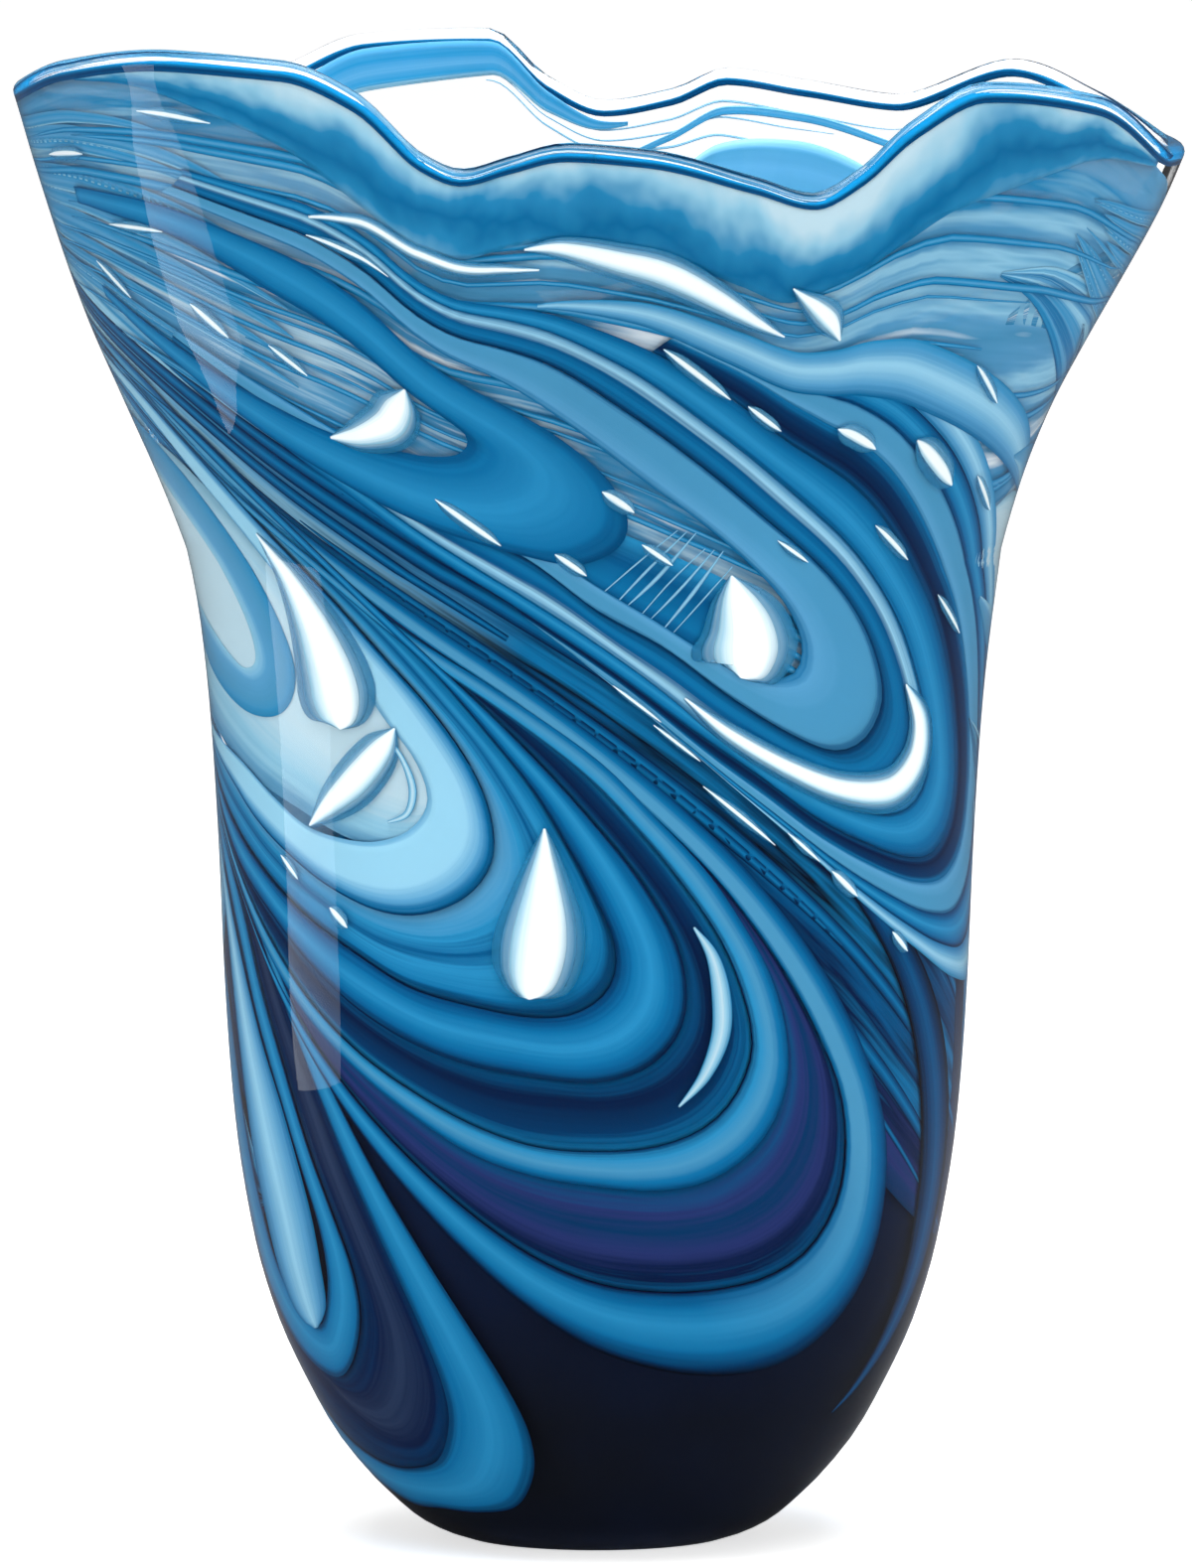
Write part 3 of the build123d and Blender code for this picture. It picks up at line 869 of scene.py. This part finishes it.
WINDOW_FINGER = {
    "out": [
        (-103, 229), (-97, 231), (-90, 230), (-80, 226), (-69, 217), (-60, 205), (-53, 191), (-50, 179),
        (-54, 171), (-64, 170), (-78, 176), (-90, 184), (-97, 190), (-103, 197),
    ],
    "in": [
        (-102, 228), (-97, 225), (-90, 220), (-82, 215), (-73, 207), (-66, 198), (-61, 188), (-60, 181),
        (-64, 179), (-70, 182), (-80, 188), (-90, 193), (-97, 196), (-102, 198),
    ],
}
# pale fill of the clear window on the left, painted light of the bright backdrop behind it
WINDOW_FILL = [
    (-108, 214, 1), (-101, 209, 26), (-92, 200, 50), (-80, 195, 58), (-68, 187, 54), (-56, 177, 46),
    (-46, 169, 38), (-37, 162, 32), (-29, 158, 26), (-24, 156, 12),
]
PANEL_LOW = [
    (-66, 288), (-56, 286), (-46, 282), (-38, 278), (-28, 271), (-18, 271), (-8, 272), (0, 271),
    (10, 269), (18, 266), (24, 264), (30, 266), (38, 266), (48, 271), (60, 279), (74, 287),
]
PANEL_TOP = [(-66, 289), (-40, 289), (-15, 289), (10, 289), (30, 289), (50, 289), (74, 289)]
LEFT_GROUND = [
    (-112, 168, 1), (-104, 164, 10), (-94, 158, 20), (-84, 144, 34), (-74, 128, 48), (-64, 112, 54),
    (-52, 104, 40),
]
UPPER_BAND = [
    (-6, 258, 1), (6, 257, 5), (18, 252, 8), (30, 246, 10), (44, 239, 12), (58, 232, 12), (71, 225, 11),
    (82, 217, 7), (92, 210, 1),
]
RIGHT_STREAM = [
    (36, 146, 1), (48, 132, 5), (58, 118, 9), (66, 102, 13), (71, 86, 16), (73, 70, 16), (72, 55, 12),
    (68, 42, 7), (63, 33, 3), (58, 28, 0.5),
]
# edges of bands that nest round the outside of the upper loops and turn back beyond the right edge
RIGHT_EDGES = {
    "a": UPPER_LOOPS["third_out"][3:-3],
    "b": [
        (-10, 193), (4, 179.5), (16, 166.5), (26, 157), (36, 148), (47, 141), (58, 136.5), (68, 136.5),
        (75.5, 143), (77.5, 155), (74.5, 169), (69, 182), (62.5, 194), (54.5, 206), (46, 218), (35, 231),
        (24, 243), (10, 252),
    ],
    "c": [
        (-9, 192), (6, 176), (18, 163), (28, 153), (39, 143), (50, 135.5), (62, 130), (74, 129.5),
        (83, 138), (85.5, 152), (82, 167), (76.5, 181), (69.5, 194), (61, 207), (51.5, 219.5), (40, 232),
        (28, 243.5), (12, 253),
    ],
    "d": [
        (-8, 191), (8, 173.5), (20, 160), (31, 149), (42, 138.5), (54, 129.5), (67, 123), (80, 121.5),
        (91, 131), (94, 148), (90.5, 164), (84, 179.5), (76.5, 193), (68, 207), (57.5, 220.5), (45, 233),
        (32, 244), (14, 254),
    ],
    "e": [
        (-7, 190), (10, 171), (23, 156.5), (34, 145), (46, 133), (59, 123), (73, 115.5), (88, 114),
        (100, 125), (103, 144), (99, 161), (92, 178), (84, 192.5), (75, 207), (64, 221), (50.5, 234),
        (36, 244.5), (16, 255),
    ],
}
DROP_INNER = [
    (-20, 220, 1), (-10, 213, 11), (0, 205, 15), (9, 198, 17), (16, 192.5, 18), (22, 188, 16),
    (27, 184.5, 9),
]
# fine lines that fan out across the dark inside of the grey drop
CROSS_LINES = [
    [(1 + 1.7 * k, 198 - 1.3 * k - k % 2, 0.2), (6 + 1.6 * k, 204 - 1.2 * k, 0.35 + 0.25 * (k % 3)),
     (12 + 1.3 * k, 211 - 1.3 * k + k % 3, 0.2)]
    for k in range(7)
]
LOBE_TOP = [(-112, 284), (-100, 288), (-90, 287), (-75, 286), (-60, 284), (-48, 280), (-38, 274)]
LOBE_LOW = [(-112, 274), (-100, 264), (-90, 259), (-75, 250), (-60, 240), (-48, 232), (-38, 224)]
# colour on the far side, under the rim and seen through the mouth
FAR_RIM_BAND = [(176, 286, 1), (190, 286, 6), (202, 285, 8), (214, 284, 8), (226, 284, 5), (240, 284, 1)]
FAR_EYE = [
    (177, 262, 1), (171, 266, 8), (164, 269, 14), (155, 270, 17), (146, 268, 14), (139, 264, 8),
    (134, 261, 1),
]
FAR_EYE_RING = [
    (186, 268, 0.5), (180, 275, 1.4), (170, 281, 1.8), (158, 283.5, 2), (147, 282, 1.8), (137, 277, 1.4),
    (129, 269, 0.5),
]
FAR_TOP = [(124, 285), (145, 286), (160, 287), (178, 286.5), (194, 285)]
FAR_LOW = [(124, 270), (145, 266), (160, 262), (178, 270), (194, 278)]
# lines just inside the upper and the lower edge of the navy stream
STREAM_HIGH = [(angle, level + 0.45 * width) for angle, level, width in NAVY_STREAM]
STREAM_LOW = [(angle, level - 0.45 * width) for angle, level, width in NAVY_STREAM]

THREAD_POINTS = 200              # points of a guide line at which threads can start and end
SHORTEST_THREAD = 24             # a thread over fewer of them is left out
THREAD_STRIDE = 6
thread_rng = random.Random(11)


def guide_sheet(upper, lower, depth, seed=0.0):
    """The sheet between two guide lines."""
    return sheet(smooth_path(upper, 110), smooth_path(lower, 110), depth, 15, seed)


def threads(upper, lower, number, depth, widest, low=0.0, longest=0.9, spare=0.08):
    """Fine threads at chance places between two guide lines.

    They start a low share of the way from the upper line to the lower one, and stay clear of the
    lines' ends by a spare share."""
    first = smooth_path(upper, THREAD_POINTS)
    second = smooth_path(lower, THREAD_POINTS)
    out = []
    for k in range(number):
        share = low + (1.0 - low) * (k + thread_rng.random()) / number
        start = spare + thread_rng.random() * (1 - longest * 0.6)
        end = min(1.0 - spare, start + longest * (0.4 + 0.6 * thread_rng.random()))
        drift = (thread_rng.random() - 0.5) * 0.05
        width = widest * (0.35 + 0.65 * thread_rng.random())
        i, j = int(start * (THREAD_POINTS - 1)), int(end * (THREAD_POINTS - 1))
        if j - i < SHORTEST_THREAD:
            continue
        where = np.linspace(0, 1, j - i + 1)
        blend = np.clip(share + drift * where, 0, 1)[:, None]
        line = first[i:j + 1] * (1 - blend) + second[i:j + 1] * blend
        swell = np.sin(np.pi * where) ** 0.5 * width
        stations = [(p[0], p[1], w) for p, w in zip(line[::THREAD_STRIDE], swell[::THREAD_STRIDE])]
        out.append(ribbon(stations, depth, seed=k * 1.7, across=3, count=50))
    return out


def side_threads(layer_number, upper, lower, number, widest, **shares):
    """A maker of threads for both sides; upper is one line, or one for each side."""
    def make(place, deeper):
        line = upper[place] if isinstance(upper, dict) else upper
        return threads(place(line), place(lower), number, layer(layer_number) + deeper, widest, **shares)

    return make


both_pieces(
    "upper_veil",
    lambda place, deeper: [guide_sheet(place(TOP_GUIDE[place]), place(STREAM_GUIDE), layer(14) + deeper)],
    veil_glass,
)
both_ribbons("navy_stream", [NAVY_STREAM], navy_stream_glass, 12, across=15, count=120)
both_loops("window_finger", WINDOW_FINGER, "out", "in", window_finger_glass, 3)
both_ribbons("window_fill", [WINDOW_FILL], window_fill_glass, 5, across=9)
both_pieces("threads_blue", side_threads(6, TOP_GUIDE, STREAM_GUIDE, 24, 2.2, low=0.1), thread_glass)
both_pieces("threads_stream", side_threads(11, STREAM_HIGH, STREAM_LOW, 9, 4.2, spare=0.02),
            stream_thread_glass)
both_pieces("lobe_lines", side_threads(7, LOBE_TOP, LOBE_LOW, 11, 4.5, longest=1.5, spare=0.0),
            lobe_glass)
# blue panels under the rim, with painted reflections as lighter vertical streaks
colour_piece("rim_panels", [guide_sheet(PANEL_TOP, PANEL_LOW, layer(4), seed=2.0)], panel_and_reflection_glass)
both_ribbons("drop_inner", [DROP_INNER], drop_inner_glass, 4)
both_ribbons("cross_lines", CROSS_LINES, far_line_glass, 3, across=3, count=16)
both_ribbons("left_ground", [LEFT_GROUND], left_ground_glass, 13, across=11)
both_ribbons("upper_band", [UPPER_BAND], upper_band_glass, 4)
both_loops("right_gap", RIGHT_EDGES, "b", "a", gap_glass, 5)
both_loops("right_grey", RIGHT_EDGES, "c", "b", grey_glass, 5)
both_loops("right_blue", RIGHT_EDGES, "d", "c", second_glass, 5)
both_loops("right_outer", RIGHT_EDGES, "e", "d", upper_band_glass, 5)
both_ribbons("right_stream", [RIGHT_STREAM], right_stream_glass, 6)
far_rim = [ribbon(FAR_RIM_BAND, layer(16)), ribbon(FAR_EYE_RING, layer(16), seed=4.0)]
colour_piece("far_rim", far_rim, lobe_glass)
colour_piece("far_eye", [ribbon(FAR_EYE, layer(16))], far_eye_glass)
colour_piece("far_lines", threads(FAR_TOP, FAR_LOW, 5, layer(15), 1.1, spare=0.0), far_line_glass)

# ---------- painted highlights: white and clear drops, and bright flecks
# white drops of painted highlight, where the clear glass shows bright light
HIGHLIGHT_DROPS = [
    [(-7.7, 151, 0.5), (-7.8, 146, 3.5), (-8, 140, 7.5), (-8.3, 133, 11.5), (-8.8, 127, 13),
     (-9.5, 121.5, 11.5), (-10, 118.6, 8), (-10.2, 117.2, 3.5), (-10.2, 116.7, 0.5)],
    [(19.5, 201.5, 0.5), (20.3, 197, 7.5), (21.6, 191, 13.5), (22, 186.5, 16), (22, 183.2, 13.5),
     (21.6, 181.6, 7), (21.3, 180.8, 0.5)],
    [(-53, 207, 0.5), (-48.5, 199, 5), (-45, 190, 10), (-42.5, 181, 14), (-41.5, 175, 14.5),
     (-41, 171, 10), (-41, 169, 0.5)],
    [(-48.5, 149, 0.5), (-44, 153.5, 4.5), (-38.5, 159, 7), (-33.5, 165.5, 5.5), (-31, 170, 0.5)],
    [(-35, 226.5, 0.5), (-31, 227.5, 4), (-27, 230.5, 6.5), (-25, 235, 6), (-24, 239.5, 0.5)],
    [(13, 177, 0.5), (20, 169.5, 2.2), (30, 162, 3.2), (40, 157, 4.4), (50, 156, 6), (56, 161, 7),
     (56.5, 169, 5), (52, 177, 0.5)],
    [(-8, 271, 0.5), (-3, 270, 3), (3, 268, 5), (9, 266, 6), (15, 262.5, 5), (20, 259, 3), (25, 256, 0.5)],
    [(-34, 266, 0.5), (-27, 269, 1.4), (-20, 270, 1.8), (-13, 268, 1.4), (-6, 266, 0.5)],
    [(25, 268, 0.5), (28, 264, 3), (31, 258, 3.6), (33, 252, 0.5)],
]
# cyan drops of painted highlight
CYAN_HIGHLIGHTS = [
    [(15, 131, 0.5), (18, 125, 2.6), (19.5, 117, 4), (19.5, 109, 4), (17, 101, 2.6), (13, 95, 0.5)],
    [(21, 183.5, 0.5), (24, 182.6, 1.6), (26.4, 186, 2), (26, 192, 1.5), (23.5, 198, 0.5)],
    [(-33, 151, 0.5), (-29.5, 153, 1.4), (-28.4, 158, 1.8), (-30, 164, 1.2), (-33, 169, 0.5)],
]
# painted highlights: short bright flecks along the streams: angle, level, length, width
FLECKS = [
    (-17, 212.5, 15, 1.9), (-3, 204, 7, 1.7), (4, 217, 7, 2.2), (9, 206, 7, 1.4), (-68, 253, 11, 1.5),
    (-50, 246, 9, 1.9), (-39, 240, 8, 1.3), (14, 245, 16, 1.9), (24, 236, 9, 1.7), (38, 228, 10, 2.6),
    (52, 221, 15, 4.4), (46, 206, 12, 1.5), (29, 206, 8, 1.2), (-43, 131, 6, 2.0), (-54, 140, 7, 1.4),
    (22, 153, 20, 1.1), (41, 138, 9, 1.8), (54, 125, 7, 1.6), (12, 168, 12, 0.9), (-30, 262, 12, 1.2),
    (6, 176, 12, 0.9), (33, 146, 10, 1.0), (62, 190, 14, 1.3), (66, 214, 12, 1.6), (58, 236, 12, 1.4),
    (-60, 262, 14, 1.1), (-72, 276, 12, 1.4), (-50, 281, 14, 1.2),
]
FLECK_SLOPE = -1.05              # fall of the streams in mm per degree,
FLAT_FLECK_SLOPE = -0.15         # and close under the rim
FLAT_FLECKS_FROM = 255.0


def fleck(angle, level, length, width):
    """Stations of a small pointed fleck that lies along the stream."""
    slope = FLECK_SLOPE if level < FLAT_FLECKS_FROM else FLAT_FLECK_SLOPE
    reach = length / 2 / math.hypot(MM_PER_DEGREE, slope)
    return [
        (angle + reach * t, level + slope * reach * t, width * math.sqrt(1.02 - t * t))
        for t in (-1, -0.6, 0, 0.6, 1)
    ]


def widened(many_stations, share, extra=0.0):
    """The same ribbons, wider by a share and by a fixed amount except at their points."""
    return [
        [(angle, level, width * share + (extra if width > 1 else 0.0)) for angle, level, width in stations]
        for stations in many_stations
    ]


FLECK_SHAPES = [fleck(*numbers) for numbers in FLECKS]
SMALL = {"across": 5, "count": 20}
# painted highlights: the drops and flecks with their halos and edges, laid as coloured glass in the wall
both_ribbons("drop_halos", widened(HIGHLIGHT_DROPS, 1.35, 1.4), highlight_halo_glass, -1)
both_ribbons("drop_edges", widened(HIGHLIGHT_DROPS, 1.12, 0.6), highlight_edge_glass, -2)
both_ribbons("white_drops", widened(HIGHLIGHT_DROPS, 0.86), highlight_white_glass, -3)
both_ribbons("cyan_drops", CYAN_HIGHLIGHTS, cyan_highlight_glass, -1)
both_ribbons("fleck_halos", widened(FLECK_SHAPES, 1.5, 0.6), highlight_halo_glass, -1, **SMALL)
both_ribbons("white_flecks", widened(FLECK_SHAPES, 0.7), highlight_white_glass, -2, **SMALL)

# ---------- painted rim shade
# painted shade: a dark blue line that follows the rim inside the lip, for the darker edge of the thick lip
RIM_SHADE_LEVELS = (289.6, 288.2)
RIM_SHADE_DEPTH = 1.9
RIM_SHADE_THICK = 1.6
rim_shade_edges = [
    np.stack([np.arange(361.0), np.full(361, level)], axis=-1) for level in RIM_SHADE_LEVELS
]
rim_line = sheet(*rim_shade_edges, RIM_SHADE_DEPTH, 5, thick=RIM_SHADE_THICK)
colour_piece("rim_line", [rim_line], rim_line_glass)

# ---------- backdrop and floor
BACKDROP_LIGHT = 0.4             # the backdrop as a lamp, against 1 where it is seen
MIRRORED_LIGHT = 0.12            # and in the reflections on the glass
FLOOR_GLOW = 0.64
FLOOR_HALF = 30.0
FLOOR_PALE = (0.93, 0.93, 0.93, 1)
FLOOR_MIRRORED = (0.16, 0.16, 0.17, 1)
scene = bpy.context.scene
scene.view_settings.view_transform = "Standard"


def mirror_share(tree, path):
    """1 for rays that glass reflects like a mirror, 0 for all others."""
    return calculate(tree, "MULTIPLY", path.outputs["Is Reflection Ray"], path.outputs["Is Glossy Ray"])


def seen_share(tree, path):
    """1 for rays from the camera, also through glass, 0 for all others."""
    return calculate(tree, "MAXIMUM", path.outputs["Is Camera Ray"], path.outputs["Is Transmission Ray"])


def studio_world():
    """The backdrop: white where it is seen directly or through the glass, dimmer as a lamp, and dark in
    the reflections on the glass, as with the black cards of a glass photographer."""
    world = bpy.data.worlds.new("studio")
    world.use_nodes = True
    tree = world.node_tree
    path = add_node(tree, "LightPath", {})
    strength = add_node(tree, "MapRange", {
        "Value": seen_share(tree, path), "To Min": BACKDROP_LIGHT, "To Max": 1.0,
    })
    dimmed = add_node(tree, "MapRange", {
        "Value": mirror_share(tree, path), "To Min": strength.outputs["Result"],
        "To Max": MIRRORED_LIGHT,
    })
    fill(tree, tree.nodes["Background"], {"Color": (1, 1, 1, 1), "Strength": dimmed.outputs["Result"]})
    return world


def floor_material():
    """A pale floor that glows where it is seen, and is dark in the reflections on the glass."""
    mat, tree = new_material("floor_pale")
    path = add_node(tree, "LightPath", {})
    colour = mix_colours(tree, mirror_share(tree, path), FLOOR_PALE, FLOOR_MIRRORED)
    glow = add_node(tree, "MapRange", {"Value": seen_share(tree, path), "To Max": FLOOR_GLOW})
    show(tree, add_node(tree, "BsdfPrincipled", {
        "Base Color": colour, "Roughness": 0.9, "Emission Color": (1, 1, 1, 1),
        "Emission Strength": glow.outputs["Result"],
    }))
    return mat


scene.world = studio_world()
corners = [(x * FLOOR_HALF, y * FLOOR_HALF, 0) for x, y in ((-1, -1), (1, -1), (1, 1), (-1, 1))]
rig.stage(add_piece("floor", corners, [(0, 1, 2, 3)], floor_material(), smooth=False))

# ---------- lamps
NESTED_SHARES = (1.0, 0.75, 0.5)
VASE_MIDDLE = (0, 0, 0.18)


def area_light(name, place, aim, size, power, shape="RECTANGLE"):
    """A lamp that the camera doesn't see. Places and sizes are in metres, the power in watts."""
    data = bpy.data.lights.new(name, "AREA")
    data.shape = shape
    data.size, data.size_y = size
    data.energy = power
    lamp = bpy.data.objects.new(name, data)
    lamp.location = place
    lamp.rotation_euler = (Vector(aim) - Vector(place)).to_track_quat("-Z", "Y").to_euler()
    lamp.visible_camera = False
    scene.collection.objects.link(lamp)
    return lamp


def soft_edged_light(name, place, aim, size, power, mirror_only=False):
    """Lamps nested inside each other, so that their reflection fades out at its edge."""
    for number, share in enumerate(NESTED_SHARES):
        nested = (size[0] * share, size[1] * share)
        lamp = area_light(f"{name}_{number}", place, aim, nested, power / len(NESTED_SHARES), "ELLIPSE")
        if mirror_only:
            lamp.visible_diffuse = False
            lamp.visible_transmission = False


soft_edged_light("softbox_left", (-0.95, -1.1, 0.75), VASE_MIDDLE, (0.34, 0.9), 1.2)
soft_edged_light("softbox_right", (1.3, -0.5, 0.7), VASE_MIDDLE, (0.3, 0.9), 2.5)
soft_edged_light("strip_left", (-0.5, 0.02, 0.05), (0, 0, 0.26), (0.2, 0.2), 0.9, mirror_only=True)
area_light("softbox_top", (0.0, -0.2, 1.7), (0, 0, 0.2), (1.4, 1.4), 38)

# ---------- camera
CAMERA_DISTANCE = 4.5
CAMERA_ELEVATION = math.radians(6.0)
CAMERA_TARGET = (0.0, 0.0, 0.152)
PICTURE_HEIGHT = 0.3158          # height of the picture at the vase
SENSOR_WIDTH = 36.0              # in mm, as is the lens
camera_data = bpy.data.cameras.new("camera")
camera_data.sensor_width = SENSOR_WIDTH
camera_data.lens = SENSOR_WIDTH * CAMERA_DISTANCE / PICTURE_HEIGHT
camera = bpy.data.objects.new("camera", camera_data)
camera.location = (
    CAMERA_TARGET[0],
    CAMERA_TARGET[1] - CAMERA_DISTANCE * math.cos(CAMERA_ELEVATION),
    CAMERA_TARGET[2] + CAMERA_DISTANCE * math.sin(CAMERA_ELEVATION),
)
camera.rotation_euler = (math.pi / 2 - CAMERA_ELEVATION, 0, 0)
scene.collection.objects.link(camera)
scene.camera = camera

# light paths through several walls of glass
scene.cycles.max_bounces = 16
scene.cycles.transmission_bounces = 12
scene.cycles.transparent_max_bounces = 16
scene.cycles.glossy_bounces = 6
scene.cycles.diffuse_bounces = 4

keep_bounds("visual")
